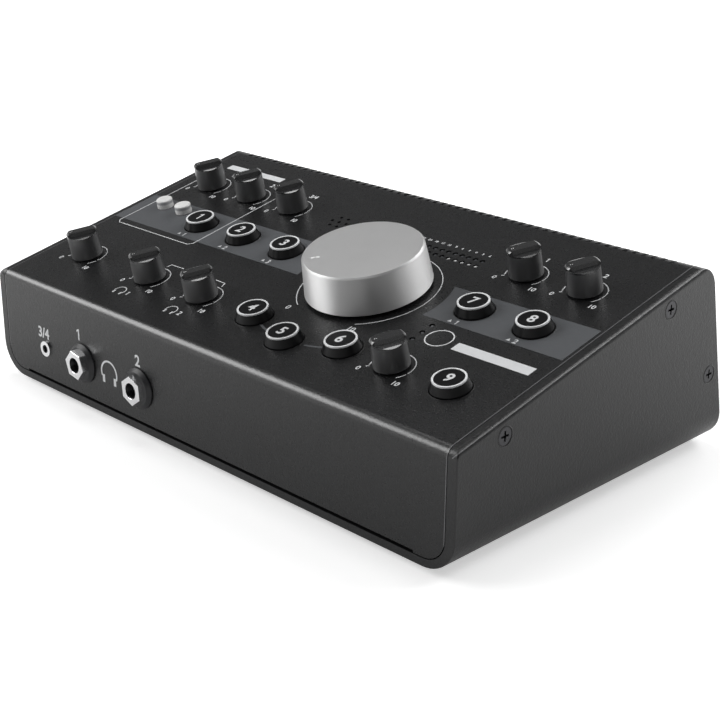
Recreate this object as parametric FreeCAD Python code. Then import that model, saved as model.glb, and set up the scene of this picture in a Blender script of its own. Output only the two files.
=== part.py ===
import FreeCAD, Part
import math
import os

# Desktop studio monitor controller: a wedge-shaped steel case with one large
# volume knob, nine small rotary knobs, nine round lit buttons, two small push
# buttons, headphone sockets in front and line sockets behind.
# Units are millimetres.  X runs to the right along the front, Y runs from the
# front to the back and Z is up.  The origin is on the surface that the feet
# stand on, in the middle of the plan of the whole object.

V = FreeCAD.Vector

# ---- Case ------------------------------------------------------------------
case_width = 264.0
front_height = 45.5        # underside of the case to the sharp front top corner
slope_angle = 13.1         # slope of the control panel, in degrees
top_length = 145.0         # along the slope, sharp front corner to the rear face
front_roll_radius = 4.0    # outside bend from the front face to the panel
rear_roll_radius = 9.5     # outside bend from the panel to the rear face
bottom_corner_radius = 14.0  # side walls to the bottom, seen from the front
top_edge_round = 2.3       # side walls to the control panel
wall_drop = 0.1            # side walls below the surface of the control panel
edge_round = 0.5           # front and rear edges of the wrap
wrap_sheet = 1.6
rim_width = 4.0            # rim of the wrap seen beside the cover
front_rim_height = 3.3     # rim of the wrap seen under the front face
rear_rim_height = 7.0
rim_corner_radius = 9.8
cover_sheet = 1.5
seam = 0.4                 # gap between the rim and the cover or rear panel
front_slot_inset = 18.0    # end of the shadow gap under the front face, from the side
front_slot_height = 0.9    # how far the gap is taller than the seam
front_return_depth = 8.0
flange_depth = 14.0        # folded edges of the cover and of the rear panel
rear_lip = 17.0            # cover from its sharp rear corner down the rear face

# ---- Feet ------------------------------------------------------------------
foot_height = 2.3
foot_radius = 6.35
foot_taper = 0.5
foot_inset = 24.0          # centre of a foot to the outside of the case
foot_stem_radius = 2.0
foot_stem_clearance = 0.1
foot_stem_length = 3.6

# ---- Screws ----------------------------------------------------------------
screw_head_radius = 3.4
screw_head_depth = 1.45
screw_shank_radius = 1.45
screw_length = 8.0
screw_clearance = 0.08
screw_cross_length = 3.8
screw_cross_width = 0.85
screw_cross_depth = 1.0
screw_boss_radius = 3.2
side_screw_depth = 6.5     # below the control panel, square to it
side_screw_front = 22.3    # from the sharp front corner along the slope
side_screw_rear = 116.3
rear_screw_drop = 45.8     # from the sharp rear corner down the rear face
rear_screw_inset = 6.7     # in front of the rear face

# ---- Control panel layout, from the middle of the volume knob --------------
drawn_width = 264.0        # case width that the places from left to right are drawn for
volume_offset = 28.5       # from the middle of the case
volume_reach = 66.9        # from the sharp front corner along the slope
front_row = -38.5
rear_row = 36.5
button_row = 6.0
channel_pitch = 27.4       # the rear knobs and the buttons in front of them
gain_1_x = -137.0
direct_x = -133.3
phones_x = -89.3
phones_pitch = 33.4
monitor_x = 48.4           # first of the two columns on the right
trim_shift = 0.4           # the rear knobs of those columns stand this much to the left
source_button_x = -108.7
small_button_x = -141.2
small_button_pitch = 13.1
small_button_row = 11.6
mono_offset = 23.9         # MONO and DIM, left and right of the volume knob
mono_row = -38.8
mute_row = -45.5
cue_x = 75.9
mic_x = -53.2
mic_row = 36.4
mic_hole_pitch = 4.15
mic_hole_radius = 0.8
meter_right_x = 25.7
meter_pitch = 3.5
meter_columns = 11
meter_row = 37.2
meter_row_gap = 4.15
status_x = 41.8
status_row = -10.1
status_pitch = 5.4
status_count = 3

# ---- Vents in the rear bend ------------------------------------------------
vent_pitch = 4.25
vent_width = 1.9
vent_inset = 8.0           # clear sheet beyond the last slot
vent_forward = 9.0         # reach of a slot on the panel, from the rear corner
vent_down = 11.0           # reach of a slot down the rear face

# ---- Circuit boards --------------------------------------------------------
board_depth = 12.0         # panel surface to the top of the main board
board_sheet = 1.6
board_inset = 12.0         # edge of a board, from the side of the case
board_front = -55.0
board_rear = 61.5
standoff_radius = 2.6
standoff_inset = 17.0      # outer standoffs, from the side of the case
standoff_rows = (-50.0, 56.0)
board_screw_radius = 2.7
board_screw_head = 1.8

# ---- Rotary controls -------------------------------------------------------
shaft_radius = 3.0
shaft_flat = 1.6           # middle of a shaft to its flat
shaft_running_fit = 0.04
knob_fit = 0.03
bush_radius = 3.5
bush_hole_clearance = 0.15
bush_top = -0.3            # from the panel surface
small_pot_width = 10.0
small_pot_top = -5.2
volume_pot_radius = 8.5
volume_pot_top = -3.6
pot_shaft_seat = 1.5       # how deep a shaft runs in its control's body

small_knob_gap = 0.8       # panel to the lower edge of a knob
small_knob_radius = 6.8
small_knob_rim_radius = 6.5
small_knob_rim = 10.6      # height of the ledges above the panel
small_knob_top = 12.3      # height of the pointer bar
small_knob_bar = 1.9       # half width of the pointer bar
small_knob_bar_foot = 3.9  # half width of the bar where it meets the ledges
small_knob_wall = 1.2
small_knob_boss = 4.3
small_knob_cavity = 5.5    # height of the moulded hollow
small_knob_bore = 8.2
small_knob_pointer = 240.0  # degrees, bar at the start of its turn

volume_knob_gap = 1.3
volume_knob_radius = 25.2
volume_knob_top_radius = 23.85
volume_knob_height = 15.3
volume_knob_chamfer = 0.9
volume_knob_wall = 2.6
volume_knob_roof = 3.2
volume_knob_boss = 6.5
volume_knob_bore = 12.0
volume_pointer = 229.5     # degrees, pointer at the start of its turn

# ---- Round lit buttons -----------------------------------------------------
cap_hole_clearance = 0.25
cap_radius = 7.45          # flared foot of a cap
cap_foot_top = 0.5         # top of the flared foot, above the panel
cap_neck_radius = 6.25
cap_neck = 3.55
cap_top = 4.1
cap_wall = 1.1
cap_skirt = 3.2            # below the panel surface
cap_flange_radius = 8.5
cap_flange_gap = 0.3       # under the panel sheet
cap_flange_sheet = 0.9
cap_stem_radius = 1.75
cap_stem = 9.2             # below the panel surface
ring_outer = 6.25
ring_width = 1.0
ring_height = 0.65
ring_tail_width = 0.5
ring_tail = 1.6
ring_seat = 0.02

# ---- Small push buttons ----------------------------------------------------
push_radius = 3.8
push_top_radius = 3.65
push_top = 3.6
push_edge = 0.5
push_hole_clearance = 0.2
push_flange_radius = 4.9
push_skirt = 2.9

# ---- Switches under the buttons --------------------------------------------
switch_width = 7.0
switch_top = -7.2
switch_bore_clearance = 0.05
switch_bore = 3.6

# ---- Indicators and microphone ---------------------------------------------
led_radius = 0.95
led_hole_clearance = 0.2
led_top = -0.35
mic_radius = 4.85
mic_top = -1.8
mic_height = 5.0
mic_lead_radius = 0.4
mic_lead_spread = 1.3

# ---- Headphone sockets in the front face -----------------------------------
jack_height = 18.8         # middle of a socket above the underside of the case
jack_1_x = -72.0
jack_pitch = 38.2
jack_bore_radius = 3.2
jack_bore_length = 30.0
jack_bush_radius = 4.5
jack_bush_front = 4.5      # how far a front bush stands out of the face
jack_hole_clearance = 0.15
jack_body_width = 15.0
jack_body_height = 16.0
jack_body_depth = 22.5     # inside the sheet
jack_nut_flats = 12.0
jack_nut_height = 2.2
jack_nut_face_radius = 6.0
jack_nut_clearance = 0.05
jack_nut_turn = (-10.0, -24.0)
collar_radius = 8.4
collar_top_radius = 6.95
collar_edge = 0.6
collar_height = 2.0
mini_x = -98.8
mini_height = 17.8
mini_bore_radius = 1.8
mini_bore_length = 14.0
mini_bush_radius = 2.9
mini_ring_radius = 3.35
mini_ring_height = 0.8
mini_body_width = 8.0
front_board_left = -110.0
front_board_right = -20.0
front_board_low = 9.5
front_board_high = 29.0

# ---- Rear sockets ----------------------------------------------------------
rear_jack_left = -32.0
rear_jack_pitch_x = 27.0
rear_jack_columns = 3
rear_jack_drops = (29.0, 54.0)
rear_bush = 2.6            # how far a rear bush stands out of the panel
combo_inset = 31.0         # first combination socket, from the left side
combo_pitch = 34.0
combo_drop = 41.0
combo_plate_width = 26.0
combo_plate_height = 31.0
combo_plate_sheet = 1.6
combo_barrel_radius = 11.8
combo_groove_outer = 9.6
combo_groove_inner = 7.8
combo_groove_depth = 13.0
combo_pin_circle = 5.6
combo_pin_radius = 1.3
combo_screw_x = 10.0
combo_screw_y = 12.5
usb_inset = 66.0           # from the right side of the case
usb_drop = 41.0
usb_width = 12.0
usb_height = 10.8
usb_wall = 1.5
usb_tongue_width = 5.6
usb_tongue_height = 3.2
usb_depth = 9.0
usb_clearance = 0.2
dc_inset = 47.0
dc_width = 9.5
dc_height = 11.0
dc_hole_radius = 3.1
dc_pin_radius = 1.0
dc_depth = 9.5
power_inset = 27.0
power_width = 9.0
power_corner = 1.5
power_out = 5.2            # how far the button stands out when it is off
power_clearance = 0.25
power_body_width = 13.0
power_body_gap = 5.0       # rear sheet to the switch body
power_stem_radius = 1.75
power_stem = 9.5

eps = 1.0                  # overshoot of cutting tools

# ---- Worked out from the above ---------------------------------------------
slope = math.radians(slope_angle)
cos_s = math.cos(slope)
sin_s = math.sin(slope)
half_width = case_width / 2
spread = case_width / drawn_width
volume_x = volume_offset * spread
mic_middle = mic_x * spread
heel_z = -front_height + edge_round
heel_y = (top_length - edge_round - heel_z * sin_s) / cos_s
rear_reach = heel_y + edge_round
face_y = (jack_bush_front - rear_reach) / 2
corner = V(0, face_y, foot_height + front_height)
panel_half = half_width - rim_width - seam
wall_inside = half_width - wrap_sheet
front_slot_half = half_width - front_slot_inset
vent_half_count = int((panel_half - vent_inset) / vent_pitch)
board_half_width = half_width - board_inset
standoff_x = half_width - standoff_inset
combo_left = combo_inset - half_width
usb_x = half_width - usb_inset
dc_x = half_width - dc_inset
power_x = half_width - power_inset
tall = 2 * top_length
rear_board_depth = cover_sheet + jack_body_depth

top_frame = FreeCAD.Placement(
    corner + V(volume_x, volume_reach * cos_s, volume_reach * sin_s),
    FreeCAD.Rotation(V(1, 0, 0), slope_angle))
front_frame = FreeCAD.Placement(
    V(0, face_y, foot_height), FreeCAD.Rotation(V(1, 0, 0), 90))
rear_frame = FreeCAD.Placement(
    corner + V(0, top_length * cos_s, top_length * sin_s),
    FreeCAD.Rotation(V(1, 0, 0), slope_angle - 90))
left_frame = FreeCAD.Rotation(V(0, 1, 0), -90)
right_frame = FreeCAD.Rotation(V(0, 1, 0), 90)


# ---- Shapes ----------------------------------------------------------------
def placed(shape, frame):
    """Shape moved from a frame's own axes to the axes of the whole object."""
    return shape.transformed(frame.toMatrix())


def block(x0, x1, y0, y1, z0, z1):
    return Part.makeBox(x1 - x0, y1 - y0, z1 - z0, V(x0, y0, z0))


def rod(radius, z0, z1, x=0.0, y=0.0):
    return Part.makeCylinder(radius, z1 - z0, V(x, y, z0))


def bar_x(radius, x0, x1, y, z):
    return Part.makeCylinder(radius, x1 - x0, V(x0, y, z), V(1, 0, 0))


def outline(points, radii, place):
    """Closed face through plane points, with corner i rounded by radii[i]."""
    corners = []
    for i, point in enumerate(points):
        here = V(point[0], point[1], 0)
        back = V(points[i - 1][0], points[i - 1][1], 0) - here
        on = V(points[(i + 1) % len(points)][0], points[(i + 1) % len(points)][1], 0) - here
        if radii[i] <= 0:
            corners.append([here])
            continue
        half = back.getAngle(on) / 2
        back.normalize()
        on.normalize()
        middle_way = back + on
        middle_way.normalize()
        reach = radii[i] / math.tan(half)
        crest = here + middle_way * (radii[i] / math.sin(half) - radii[i])
        corners.append([here + back * reach, crest, here + on * reach])
    edges = []
    for i, found in enumerate(corners):
        if len(found) == 3:
            edges.append(Part.Arc(*[place(p) for p in found]).toShape())
        start = found[-1]
        end = corners[(i + 1) % len(corners)][0]
        if (end - start).Length > 1e-6:
            edges.append(Part.LineSegment(place(start), place(end)).toShape())
    return Part.Face(Part.Wire(edges))


def turned(points, radii=None):
    """Solid turned about Z from (radius, height) points."""
    radii = radii or [0] * len(points)
    face = outline(points, radii, lambda p: V(p.x, 0, p.y))
    return face.revolve(V(0, 0, 0), V(0, 0, 1), 360)


def side_body(x0, x1, front=0.0, top=0.0, rear=0.0, bottom=0.0, front_radius=0.0, rear_radius=0.0):
    """Case side view, drawn in by the given amounts and carried from x0 to x1."""
    top_y = cos_s * (top_length - rear) + sin_s * top
    top_z = sin_s * (top_length - rear) - cos_s * top
    low_z = -front_height + bottom
    low_y = (top_length - rear - sin_s * low_z) / cos_s
    front_z = (sin_s * front - top) / cos_s
    points = [(front, low_z), (front, front_z), (top_y, top_z), (low_y, low_z)]
    radii = [0, front_radius, rear_radius, 0]
    face = outline(points, radii, lambda p: V(x0, corner.y + p.x, corner.z + p.y))
    return face.extrude(V(x1 - x0, 0, 0))


def cross_body(half, bottom, radius):
    """Case front view with round lower corners, carried through from front to back."""
    low = foot_height + bottom
    points = [(-half, tall), (-half, low), (half, low), (half, tall)]
    face = outline(points, [0, radius, radius, 0], lambda p: V(p.x, face_y - tall, p.y))
    return face.extrude(V(0, 3 * tall, 0))


def slope_body(half, drop, radius):
    """Slab below the control panel's surface with round upper side corners."""
    points = [(-half, -tall), (-half, -drop), (half, -drop), (half, -tall)]
    face = outline(points, [0, radius, radius, 0], lambda p: V(p.x - volume_x, -tall, p.y))
    return placed(face.extrude(V(0, 3 * tall, 0)), top_frame)


def shaft_section(radius, flat, z0, z1):
    """Round shaft, or its bore, with one flat at distance flat on the -Y side."""
    keep = block(-2 * radius, 2 * radius, -flat, 2 * radius, z0, z1)
    return rod(radius, z0, z1).common(keep)


def screw(length):
    """Countersunk screw with its head's face at z = 0 and its point down."""
    points = [(0, 0), (screw_head_radius, 0), (screw_shank_radius, -screw_head_depth),
              (screw_shank_radius, -length), (0, -length)]
    body = turned(points)
    half = screw_cross_length / 2
    wide = screw_cross_width / 2
    body = body.cut(block(-half, half, -wide, wide, -screw_cross_depth, eps))
    return body.cut(block(-wide, wide, -half, half, -screw_cross_depth, eps))


def screw_hole(length):
    """Countersunk hole that takes screw() with its clearance all round."""
    head = screw_head_radius + screw_clearance
    shank = screw_shank_radius + screw_clearance
    points = [(0, eps), (head, eps), (head, 0), (shank, -screw_head_depth),
              (shank, -length), (0, -length)]
    return turned(points)


def hex_nut(flats, hole, z0, z1, face_radius, turn):
    """Hexagon nut with a round chamfer on its outer face."""
    corner_radius = flats / math.sqrt(3)
    points = [V(corner_radius * math.cos(math.radians(turn + 60 * k)),
                corner_radius * math.sin(math.radians(turn + 60 * k)), z0) for k in range(7)]
    prism = Part.Face(Part.makePolygon(points)).extrude(V(0, 0, z1 - z0))
    chamfer = (corner_radius - face_radius) / 2
    bound = turned([(0, z0), (corner_radius + eps, z0), (corner_radius + eps, z1 - chamfer - eps / 2),
                    (face_radius, z1), (0, z1)])
    return prism.common(bound).cut(rod(hole, z0 - eps, z1 + eps))


def save(name, solids):
    """Write one node: a single solid, or separate like solids as a group."""
    shape = solids[0] if len(solids) == 1 else Part.makeCompound(solids)
    shape.exportStep("parts/" + name + ".step")


def one(shape):
    """The single solid of a boolean result."""
    return shape.removeSplitter().Solids[0]


# ---- Where everything on the control panel stands ---------------------------
def spread_out(places):
    """Places on the panel, moved apart from left to right as the case's width asks."""
    return {name: (x * spread, y) for name, (x, y) in places.items()}


small_knobs = spread_out({
    "gain_1": (gain_1_x, rear_row),
    "gain_2": (gain_1_x + channel_pitch, rear_row),
    "line_trim": (gain_1_x + 2 * channel_pitch, rear_row),
    "direct": (direct_x, front_row),
    "phones_1": (phones_x, front_row),
    "phones_2": (phones_x + phones_pitch, front_row),
    "talkback": (monitor_x, front_row),
    "trim_a": (monitor_x - trim_shift, rear_row),
    "trim_b": (monitor_x - trim_shift + channel_pitch, rear_row),
})
lit_buttons = spread_out({
    "source_1": (source_button_x, button_row),
    "source_2": (source_button_x + channel_pitch, button_row),
    "source_3": (source_button_x + 2 * channel_pitch, button_row),
    "mono": (-mono_offset, mono_row),
    "mute": (0.0, mute_row),
    "dim": (mono_offset, mono_row),
    "monitor_a": (monitor_x, button_row),
    "monitor_b": (monitor_x + channel_pitch, button_row),
    "cue": (cue_x, mono_row),
})
push_buttons = spread_out({
    "phantom": (small_button_x, small_button_row),
    "pad": (small_button_x + small_button_pitch, small_button_row),
})
leds = []
for column in range(meter_columns):
    for row in (meter_row, meter_row - meter_row_gap):
        leds.append(((meter_right_x - column * meter_pitch) * spread, row))
for place in range(status_count):
    leds.append((status_x * spread, status_row - place * status_pitch))
mic_holes = [(mic_middle, mic_row)]
for step in range(6):
    turn = math.radians(60 * step)
    mic_holes.append((mic_middle + mic_hole_pitch * math.cos(turn), mic_row + mic_hole_pitch * math.sin(turn)))
front_jacks = [(jack_1_x, jack_height), (jack_1_x + jack_pitch, jack_height)]
rear_jacks = []
for column in range(rear_jack_columns):
    for drop in rear_jack_drops:
        rear_jacks.append((rear_jack_left + column * rear_jack_pitch_x, drop))
combos = [(combo_left, combo_drop), (combo_left + combo_pitch, combo_drop)]
side_screws = []
for along, down in ((side_screw_front, side_screw_depth), (side_screw_rear, side_screw_depth),
                    (top_length - rear_screw_inset, rear_screw_drop)):
    side_screws.append((corner.y + along * cos_s + down * sin_s, corner.z + along * sin_s - down * cos_s))
standoffs = []
for row in standoff_rows:
    for x in (-standoff_x, 0.0, standoff_x):
        standoffs.append((x - volume_x, row))
panel_left = -panel_half - volume_x
panel_right = panel_half - volume_x
panel_front = -volume_reach
panel_rear = top_length - volume_reach


# ---- Wrap: bottom and both sides in one folded sheet -------------------------
def make_base_wrap():
    body = side_body(-half_width, half_width, front_radius=front_roll_radius,
                     rear_radius=rear_roll_radius)
    body = body.common(cross_body(half_width, 0, bottom_corner_radius))
    body = body.common(slope_body(half_width, wall_drop, top_edge_round)).removeSplitter()
    body = body.makeFillet(edge_round, [edge for edge in body.Edges if is_end_edge(edge)])
    middle = block(-tall, tall, face_y - tall, 0, -tall, tall)
    opening = cross_body(half_width - rim_width, front_rim_height, rim_corner_radius)
    rear_opening = cross_body(half_width - rim_width, rear_rim_height, rim_corner_radius)
    body = body.cut(opening.common(middle)).cut(rear_opening.cut(middle))
    hollow = side_body(-half_width, half_width, wrap_sheet, wrap_sheet, wrap_sheet, 0,
                       front_roll_radius - wrap_sheet, rear_roll_radius - wrap_sheet)
    hollow = hollow.common(cross_body(wall_inside, wrap_sheet, bottom_corner_radius - wrap_sheet))
    body = body.cut(hollow)
    for y, z in side_screws:
        hole = screw_hole(screw_length)
        body = body.cut(placed(hole, FreeCAD.Placement(V(half_width, y, z), right_frame)))
        body = body.cut(placed(hole, FreeCAD.Placement(V(-half_width, y, z), left_frame)))
    for x, y in foot_places():
        body = body.cut(rod(foot_stem_radius + foot_stem_clearance, 0, foot_height + 2 * wrap_sheet, x, y))
    save("base_wrap", [one(body)])


def is_end_edge(edge):
    """Whether an edge belongs to the front or rear outline of the wrap."""
    box = edge.BoundBox
    if box.YLength > top_length / 2:
        return False
    if box.ZMax < foot_height + eps and box.XLength > case_width / 2:
        return True
    side = max(abs(box.XMin), abs(box.XMax))
    return side > half_width - eps and box.XLength < case_width / 2


def foot_places():
    """Middles of the four feet."""
    back_y = corner.y + (top_length + front_height * sin_s) / cos_s - foot_inset
    half = half_width - foot_inset
    return [(-half, face_y + foot_inset), (half, face_y + foot_inset), (-half, back_y), (half, back_y)]


def screw_bosses(body, places, length):
    """Add threaded bosses to both folded edges of body, at (y, z) places."""
    for y, z in places:
        body = body.fuse(bar_x(screw_boss_radius, panel_half - cover_sheet, wall_inside, y, z))
        body = body.fuse(bar_x(screw_boss_radius, -wall_inside, -panel_half + cover_sheet, y, z))
    for y, z in places:
        body = body.cut(bar_x(screw_shank_radius, panel_half - length, half_width, y, z))
        body = body.cut(bar_x(screw_shank_radius, -half_width, -panel_half + length, y, z))
    return body


# ---- Cover: front face, control panel and rear bend in one sheet -------------
def make_top_cover():
    skin = side_body(-panel_half, panel_half, front_radius=front_roll_radius,
                     rear_radius=rear_roll_radius)
    skin = skin.cut(side_body(-half_width, half_width, cover_sheet, cover_sheet, cover_sheet, -tall,
                              front_roll_radius - cover_sheet, rear_roll_radius - cover_sheet))
    low = front_rim_height + seam
    skin = skin.common(cross_body(panel_half, low, rim_corner_radius - seam))
    skin = skin.cut(placed(block(-tall, tall, rear_lip, tall, -rear_lip, tall), rear_frame))
    slot_top = low + front_slot_height
    skin = skin.cut(placed(block(-front_slot_half, front_slot_half, 0, slot_top, -tall / 4, eps), front_frame))
    returned = block(-front_slot_half, front_slot_half, slot_top, slot_top + cover_sheet,
                     -front_return_depth, 0)
    skin = skin.fuse(placed(returned, front_frame))
    for x0 in (panel_left, panel_right - cover_sheet):
        fold = block(x0, x0 + cover_sheet, panel_front + 2 * front_roll_radius,
                     panel_rear - rear_roll_radius - 2 * cover_sheet, -flange_depth, 0)
        skin = skin.fuse(placed(fold, top_frame))
    skin = screw_bosses(skin, side_screws[:2], 2 * cover_sheet)
    tools = []
    for x, y in small_knobs.values():
        tools.append(rod(bush_radius + bush_hole_clearance, -2 * cover_sheet, eps, x, y))
    tools.append(rod(bush_radius + bush_hole_clearance, -2 * cover_sheet, eps))
    for x, y in lit_buttons.values():
        tools.append(rod(cap_radius + cap_hole_clearance, -2 * cover_sheet, eps, x, y))
    for x, y in push_buttons.values():
        tools.append(rod(push_radius + push_hole_clearance, -2 * cover_sheet, eps, x, y))
    for x, y in leds:
        tools.append(rod(led_radius + led_hole_clearance, -2 * cover_sheet, eps, x, y))
    for x, y in mic_holes:
        tools.append(rod(mic_hole_radius, -2 * cover_sheet, eps, x, y))
    for k in range(-vent_half_count, vent_half_count + 1):
        x = k * vent_pitch - volume_x
        tools.append(block(x - vent_width / 2, x + vent_width / 2, panel_rear - vent_forward,
                           panel_rear + eps, -vent_down, eps))
    skin = skin.cut(placed(Part.makeCompound(tools), top_frame))
    tools = []
    for x, z in front_jacks:
        tools.append(rod(jack_bush_radius + jack_hole_clearance, -2 * cover_sheet, eps, x, z))
    tools.append(rod(mini_bush_radius + jack_hole_clearance, -2 * cover_sheet, eps, mini_x, mini_height))
    skin = skin.cut(placed(Part.makeCompound(tools), front_frame))
    save("top_cover", [one(skin)])


# ---- Rear panel --------------------------------------------------------------
def make_rear_panel():
    sheet = block(-panel_half, panel_half, rear_lip + seam, tall, -cover_sheet, 0)
    low = rear_rim_height + seam
    body = placed(sheet, rear_frame).common(cross_body(panel_half, low, rim_corner_radius - seam))
    fold_end = rear_screw_drop + 2 * screw_boss_radius
    for x0 in (-panel_half, panel_half - cover_sheet):
        fold = block(x0, x0 + cover_sheet, rear_lip + 2 * screw_boss_radius, fold_end, -flange_depth, 0)
        body = body.fuse(placed(fold, rear_frame))
    body = screw_bosses(body, side_screws[2:], 2 * cover_sheet)
    tools = []
    for x, drop in rear_jacks:
        tools.append(rod(jack_bush_radius + jack_hole_clearance, -2 * cover_sheet, eps, x, drop))
    for x, drop in combos:
        tools.append(rod(combo_barrel_radius + usb_clearance, -2 * cover_sheet, eps, x, drop))
        for side in (-1, 1):
            tools.append(rod(screw_shank_radius, -2 * cover_sheet, eps, x + side * combo_screw_x,
                             drop + side * combo_screw_y))
    for x, width, height in ((usb_x, usb_width, usb_height), (dc_x, dc_width, dc_height)):
        half = width / 2 + usb_clearance
        tall_half = height / 2 + usb_clearance
        tools.append(block(x - half, x + half, usb_drop - tall_half, usb_drop + tall_half,
                           -2 * cover_sheet, eps))
    half = power_width / 2 + power_clearance
    tools.append(rounded_bar(power_x, usb_drop, half, power_corner + power_clearance, -2 * cover_sheet, eps))
    body = body.cut(placed(Part.makeCompound(tools), rear_frame))
    save("rear_panel", [one(body)])


def rounded_bar(x, y, half, radius, z0, z1):
    """Square bar with rounded corners, centred on (x, y)."""
    points = [(x - half, y - half), (x + half, y - half), (x + half, y + half), (x - half, y + half)]
    face = outline(points, [radius] * 4, lambda p: V(p.x, p.y, z0))
    return face.extrude(V(0, 0, z1 - z0))


# ---- Feet and screws ---------------------------------------------------------
def make_feet():
    stem_top = foot_height + foot_stem_length
    feet = []
    for x, y in foot_places():
        pad = turned([(0, 0), (foot_radius - foot_taper, 0), (foot_radius, foot_height),
                      (foot_stem_radius, foot_height), (foot_stem_radius, stem_top), (0, stem_top)])
        pad.translate(V(x, y, 0))
        feet.append(pad)
    save("rubber_feet", feet)


def make_screws():
    screws = []
    flush = half_width - screw_clearance / 2
    for y, z in side_screws:
        for x, way in ((flush, right_frame), (-flush, left_frame)):
            screws.append(placed(screw(screw_length), FreeCAD.Placement(V(x, y, z), way)))
    for x, drop in combos:
        for side in (-1, 1):
            piece = screw(screw_length)
            piece.translate(V(x + side * combo_screw_x, drop + side * combo_screw_y, combo_plate_sheet))
            screws.append(placed(piece, rear_frame))
    under = -board_depth - board_sheet
    for x, y in standoffs:
        piece = rod(board_screw_radius, under - board_screw_head, under, x, y)
        piece = piece.fuse(rod(screw_shank_radius, under, under + screw_length, x, y))
        piece = piece.cut(rod(screw_shank_radius, under - board_screw_head - eps,
                              under - board_screw_head / 2, x, y))
        screws.append(placed(one(piece), top_frame))
    save("case_screws", screws)


# ---- Boards ------------------------------------------------------------------
def make_boards():
    under = -board_depth - board_sheet
    sheet = block(-board_half_width - volume_x, board_half_width - volume_x, board_front, board_rear,
                  under, -board_depth)
    for x, y in standoffs:
        sheet = sheet.cut(rod(screw_shank_radius + screw_clearance, under - eps, -board_depth + eps, x, y))
    save("main_board", [placed(sheet, top_frame)])
    spacers = []
    for x, y in standoffs:
        spacer = rod(standoff_radius, -board_depth, -cover_sheet, x, y)
        spacer = spacer.cut(rod(screw_shank_radius, -board_depth - eps, -cover_sheet - eps, x, y))
        spacers.append(placed(spacer, top_frame))
    save("board_standoffs", spacers)
    front = block(front_board_left, front_board_right, front_board_low, front_board_high,
                  -rear_board_depth - board_sheet, -rear_board_depth)
    rear = block(-board_half_width, board_half_width, rear_jack_drops[0] - jack_body_height / 2,
                 rear_jack_drops[1] + jack_body_height / 2, -rear_board_depth - board_sheet, -rear_board_depth)
    save("jack_boards", [placed(front, front_frame), placed(rear, rear_frame)])


# ---- Bodies of the rotary controls and switches ------------------------------
def make_pots():
    bore = shaft_radius + shaft_running_fit
    bodies = []
    half = small_pot_width / 2
    for x, y in small_knobs.values():
        body = block(x - half, x + half, y - half, y + half, -board_depth, small_pot_top)
        body = body.fuse(rod(bush_radius, small_pot_top, bush_top, x, y))
        body = body.cut(rod(bore, small_pot_top - pot_shaft_seat - shaft_running_fit, eps, x, y))
        bodies.append(placed(one(body), top_frame))
    body = rod(volume_pot_radius, -board_depth, volume_pot_top)
    body = body.fuse(rod(bush_radius, volume_pot_top, bush_top))
    body = body.cut(rod(bore, volume_pot_top - pot_shaft_seat - shaft_running_fit, eps))
    bodies.append(placed(one(body), top_frame))
    save("pot_bodies", bodies)


def make_switches():
    half = switch_width / 2
    bodies = []
    for x, y in list(lit_buttons.values()) + list(push_buttons.values()):
        body = block(x - half, x + half, y - half, y + half, -board_depth, switch_top)
        body = body.cut(rod(cap_stem_radius + switch_bore_clearance, switch_top - switch_bore, eps, x, y))
        bodies.append(placed(body, top_frame))
    half = power_body_width / 2
    top = -cover_sheet - power_body_gap
    body = block(power_x - half, power_x + half, usb_drop - half, usb_drop + half, -rear_board_depth, top)
    body = body.cut(rod(power_stem_radius + switch_bore_clearance, top - power_stem, eps, power_x, usb_drop))
    bodies.append(placed(body, rear_frame))
    save("switch_bodies", bodies)


# ---- Knobs and their shafts --------------------------------------------------
def small_knob():
    """Tapered knob with a raised pointer bar along X; its pointer end is at +X."""
    low = small_knob_gap
    body = turned([(0, low), (small_knob_radius, low), (small_knob_rim_radius, small_knob_rim),
                   (small_knob_rim_radius, small_knob_top), (0, small_knob_top)])
    for side in (-1, 1):
        points = [(side * small_knob_bar_foot, small_knob_rim), (side * small_knob_bar, small_knob_top),
                  (side * small_knob_bar, small_knob_top + eps), (side * 2 * small_knob_radius, small_knob_top + eps),
                  (side * 2 * small_knob_radius, small_knob_rim)]
        face = outline(points, [0] * 5, lambda p: V(-2 * small_knob_radius, p.x, p.y))
        body = body.cut(face.extrude(V(4 * small_knob_radius, 0, 0)))
    hollow = rod(small_knob_rim_radius - small_knob_wall, low - eps, low + small_knob_cavity)
    hollow = hollow.cut(rod(small_knob_boss, low - 2 * eps, low + small_knob_cavity + eps))
    body = body.cut(hollow)
    bore = shaft_section(shaft_radius + knob_fit, shaft_flat + knob_fit, low - eps, low + small_knob_bore)
    return one(body.cut(bore))


def volume_knob():
    """Turned cup with a chamfered rim and a bored boss."""
    low = volume_knob_gap
    top = low + volume_knob_height
    body = turned([(0, low), (volume_knob_radius, low), (volume_knob_top_radius, top - volume_knob_chamfer),
                   (volume_knob_top_radius - volume_knob_chamfer, top), (0, top)])
    inner = volume_knob_top_radius - volume_knob_wall
    hollow = rod(inner, low - eps, top - volume_knob_roof)
    hollow = hollow.cut(rod(volume_knob_boss, low - 2 * eps, top))
    body = body.cut(hollow)
    bore = shaft_section(shaft_radius + knob_fit, shaft_flat + knob_fit, low - eps, low + volume_knob_bore)
    return one(body.cut(bore))


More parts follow.
